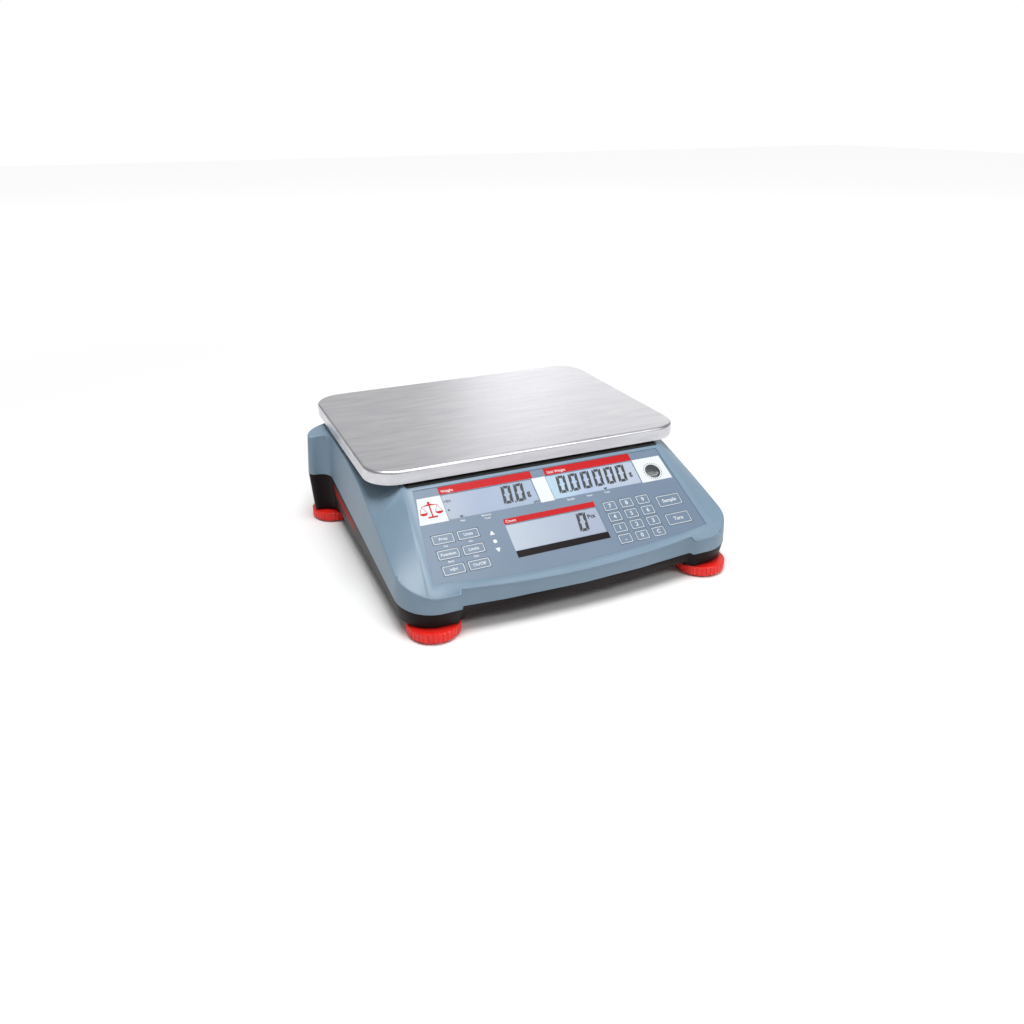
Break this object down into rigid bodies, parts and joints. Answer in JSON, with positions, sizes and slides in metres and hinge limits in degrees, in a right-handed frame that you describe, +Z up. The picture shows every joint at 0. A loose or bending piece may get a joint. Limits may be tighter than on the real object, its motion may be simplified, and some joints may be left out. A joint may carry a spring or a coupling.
{
  "type": "counting scale",
  "caption": "Bench counting scale: a rectangular stainless pan over a waisted wedge-shaped case with a sloping keypad and display panel and fluted levelling feet.",
  "frame": {"origin": "centre of the footprint, on the surface the feet stand on", "axes": "+Z up, +X to the right of a person facing the panel, the panel faces -Y"},
  "size_m": [0.345, 0.324, 0.1074],
  "materials": {
    "housing_plastic": "fine moulded texture, blue-grey ABS",
    "base_plastic": "moulded black ABS",
    "screw_steel": "zinc-plated steel",
    "insert_brass": "turned brass",
    "platform_aluminium": "die-cast, bead blasted",
    "cushion_rubber": "moulded rubber",
    "cell_aluminium": "machined and anodised",
    "film_plastic": "screen-printed polyester film",
    "switch_plastic": "moulded nylon",
    "board_laminate": "solder-masked glass laminate",
    "window_clear": "clear polished",
    "display_glass": "liquid crystal glass with a pale reflective back",
    "backlight_plastic": "white light guide",
    "cup_plastic": "clear moulded acrylic",
    "level_liquid": "tinted level liquid",
    "battery_plastic": "shrink-wrapped cells",
    "port_steel": "tinned steel shell",
    "pan_steel": "stainless sheet, long-grain brushed",
    "foot_plastic": "moulded red acetal",
    "glide_rubber": "moulded rubber glide"
  },
  "bodies": {
    "case": {"upper_housing": "housing_plastic", "base": "base_plastic", "case_screws": "screw_steel", "battery_cover": "base_plastic", "battery_cover_screws": "screw_steel", "foot_inserts": "insert_brass", "pan_platform": "platform_aluminium", "pan_cushions": "cushion_rubber", "load_cell": "cell_aluminium", "cell_mount": "platform_aluminium", "live_spacer": "cell_aluminium", "cell_screws": "screw_steel", "overload_stops": "screw_steel", "panel_film": "film_plastic", "tact_switches": "switch_plastic", "keypad_board": "board_laminate", "display_lenses": "window_clear", "lcd_weight": "display_glass", "lcd_unit_weight": "display_glass", "lcd_count": "display_glass", "display_backlights": "backlight_plastic", "level_cup": "cup_plastic", "level_liquid": "level_liquid", "level_glass": "window_clear", "level_window": "window_clear", "main_circuit_board": "board_laminate", "battery_pack": "battery_plastic", "power_inlet": "switch_plastic", "data_port": "port_steel", "port_jackscrews": "screw_steel"},
    "pan": {"weighing_pan": "pan_steel"},
    "glide_front_left": {"foot_pad_front_left": "glide_rubber"},
    "wheel_front_left": {"foot_wheel_front_left": "foot_plastic"},
    "glide_front_right": {"foot_pad_front_right": "glide_rubber"},
    "wheel_front_right": {"foot_wheel_front_right": "foot_plastic"},
    "glide_rear_left": {"foot_pad_rear_left": "glide_rubber"},
    "wheel_rear_left": {"foot_wheel_rear_left": "foot_plastic"},
    "glide_rear_right": {"foot_pad_rear_right": "glide_rubber"},
    "wheel_rear_right": {"foot_wheel_rear_right": "foot_plastic"},
    "key_print_patch": {"key_print": "film_plastic"},
    "key_units_patch": {"key_units": "film_plastic"},
    "key_function_patch": {"key_function": "film_plastic"},
    "key_limits_patch": {"key_limits": "film_plastic"},
    "key_zero_patch": {"key_zero": "film_plastic"},
    "key_power_patch": {"key_power": "film_plastic"},
    "key_7_patch": {"key_7": "film_plastic"},
    "key_8_patch": {"key_8": "film_plastic"},
    "key_9_patch": {"key_9": "film_plastic"},
    "key_4_patch": {"key_4": "film_plastic"},
    "key_5_patch": {"key_5": "film_plastic"},
    "key_6_patch": {"key_6": "film_plastic"},
    "key_1_patch": {"key_1": "film_plastic"},
    "key_2_patch": {"key_2": "film_plastic"},
    "key_3_patch": {"key_3": "film_plastic"},
    "key_point_patch": {"key_point": "film_plastic"},
    "key_0_patch": {"key_0": "film_plastic"},
    "key_clear_patch": {"key_clear": "film_plastic"},
    "key_sample_patch": {"key_sample": "film_plastic"},
    "key_tare_patch": {"key_tare": "film_plastic"}
  },
  "joints": [
    {"name": "pan_lift", "type": "slide", "parent": "case", "child": "pan", "axis": [0, 0, 1], "range_m": [0, 0.03]},
    {"name": "foot_travel_front_left", "type": "slide", "parent": "case", "child": "glide_front_left", "axis": [0, 0, -1], "range_m": [0, 0.005]},
    {"name": "foot_turn_front_left", "type": "hinge", "parent": "glide_front_left", "child": "wheel_front_left", "pos_m": [-0.1264, -0.14, 0], "axis": [0, 0, -1], "range_deg": [0, 1440]},
    {"name": "foot_travel_front_right", "type": "slide", "parent": "case", "child": "glide_front_right", "axis": [0, 0, -1], "range_m": [0, 0.005]},
    {"name": "foot_turn_front_right", "type": "hinge", "parent": "glide_front_right", "child": "wheel_front_right", "pos_m": [0.1264, -0.14, 0], "axis": [0, 0, -1], "range_deg": [0, 1440]},
    {"name": "foot_travel_rear_left", "type": "slide", "parent": "case", "child": "glide_rear_left", "axis": [0, 0, -1], "range_m": [0, 0.005]},
    {"name": "foot_turn_rear_left", "type": "hinge", "parent": "glide_rear_left", "child": "wheel_rear_left", "pos_m": [-0.1502, 0.104, 0], "axis": [0, 0, -1], "range_deg": [0, 1440]},
    {"name": "foot_travel_rear_right", "type": "slide", "parent": "case", "child": "glide_rear_right", "axis": [0, 0, -1], "range_m": [0, 0.005]},
    {"name": "foot_turn_rear_right", "type": "hinge", "parent": "glide_rear_right", "child": "wheel_rear_right", "pos_m": [0.1502, 0.104, 0], "axis": [0, 0, -1], "range_deg": [0, 1440]},
    {"name": "press_print", "type": "slide", "parent": "case", "child": "key_print_patch", "axis": [0, 0.5358, -0.8443], "range_m": [0, 0.0003], "stiffness_N_per_m": 3000},
    {"name": "press_units", "type": "slide", "parent": "case", "child": "key_units_patch", "axis": [0, 0.5358, -0.8443], "range_m": [0, 0.0003], "stiffness_N_per_m": 3000},
    {"name": "press_function", "type": "slide", "parent": "case", "child": "key_function_patch", "axis": [0, 0.5358, -0.8443], "range_m": [0, 0.0003], "stiffness_N_per_m": 3000},
    {"name": "press_limits", "type": "slide", "parent": "case", "child": "key_limits_patch", "axis": [0, 0.5358, -0.8443], "range_m": [0, 0.0003], "stiffness_N_per_m": 3000},
    {"name": "press_zero", "type": "slide", "parent": "case", "child": "key_zero_patch", "axis": [0, 0.5358, -0.8443], "range_m": [0, 0.0003], "stiffness_N_per_m": 3000},
    {"name": "press_power", "type": "slide", "parent": "case", "child": "key_power_patch", "axis": [0, 0.5358, -0.8443], "range_m": [0, 0.0003], "stiffness_N_per_m": 3000},
    {"name": "press_7", "type": "slide", "parent": "case", "child": "key_7_patch", "axis": [0, 0.5358, -0.8443], "range_m": [0, 0.0003], "stiffness_N_per_m": 3000},
    {"name": "press_8", "type": "slide", "parent": "case", "child": "key_8_patch", "axis": [0, 0.5358, -0.8443], "range_m": [0, 0.0003], "stiffness_N_per_m": 3000},
    {"name": "press_9", "type": "slide", "parent": "case", "child": "key_9_patch", "axis": [0, 0.5358, -0.8443], "range_m": [0, 0.0003], "stiffness_N_per_m": 3000},
    {"name": "press_4", "type": "slide", "parent": "case", "child": "key_4_patch", "axis": [0, 0.5358, -0.8443], "range_m": [0, 0.0003], "stiffness_N_per_m": 3000},
    {"name": "press_5", "type": "slide", "parent": "case", "child": "key_5_patch", "axis": [0, 0.5358, -0.8443], "range_m": [0, 0.0003], "stiffness_N_per_m": 3000},
    {"name": "press_6", "type": "slide", "parent": "case", "child": "key_6_patch", "axis": [0, 0.5358, -0.8443], "range_m": [0, 0.0003], "stiffness_N_per_m": 3000},
    {"name": "press_1", "type": "slide", "parent": "case", "child": "key_1_patch", "axis": [0, 0.5358, -0.8443], "range_m": [0, 0.0003], "stiffness_N_per_m": 3000},
    {"name": "press_2", "type": "slide", "parent": "case", "child": "key_2_patch", "axis": [0, 0.5358, -0.8443], "range_m": [0, 0.0003], "stiffness_N_per_m": 3000},
    {"name": "press_3", "type": "slide", "parent": "case", "child": "key_3_patch", "axis": [0, 0.5358, -0.8443], "range_m": [0, 0.0003], "stiffness_N_per_m": 3000},
    {"name": "press_point", "type": "slide", "parent": "case", "child": "key_point_patch", "axis": [0, 0.5358, -0.8443], "range_m": [0, 0.0003], "stiffness_N_per_m": 3000},
    {"name": "press_0", "type": "slide", "parent": "case", "child": "key_0_patch", "axis": [0, 0.5358, -0.8443], "range_m": [0, 0.0003], "stiffness_N_per_m": 3000},
    {"name": "press_clear", "type": "slide", "parent": "case", "child": "key_clear_patch", "axis": [0, 0.5358, -0.8443], "range_m": [0, 0.0003], "stiffness_N_per_m": 3000},
    {"name": "press_sample", "type": "slide", "parent": "case", "child": "key_sample_patch", "axis": [0, 0.5358, -0.8443], "range_m": [0, 0.0003], "stiffness_N_per_m": 3000},
    {"name": "press_tare", "type": "slide", "parent": "case", "child": "key_tare_patch", "axis": [0, 0.5358, -0.8443], "range_m": [0, 0.0003], "stiffness_N_per_m": 3000}
  ],
  "couplings": [
    {"joint": "foot_travel_front_left", "follows": "foot_turn_front_left", "m_per_rad": 0.00019894},
    {"joint": "foot_travel_front_right", "follows": "foot_turn_front_right", "m_per_rad": 0.00019894},
    {"joint": "foot_travel_rear_left", "follows": "foot_turn_rear_left", "m_per_rad": 0.00019894},
    {"joint": "foot_travel_rear_right", "follows": "foot_turn_rear_right", "m_per_rad": 0.00019894}
  ]
}
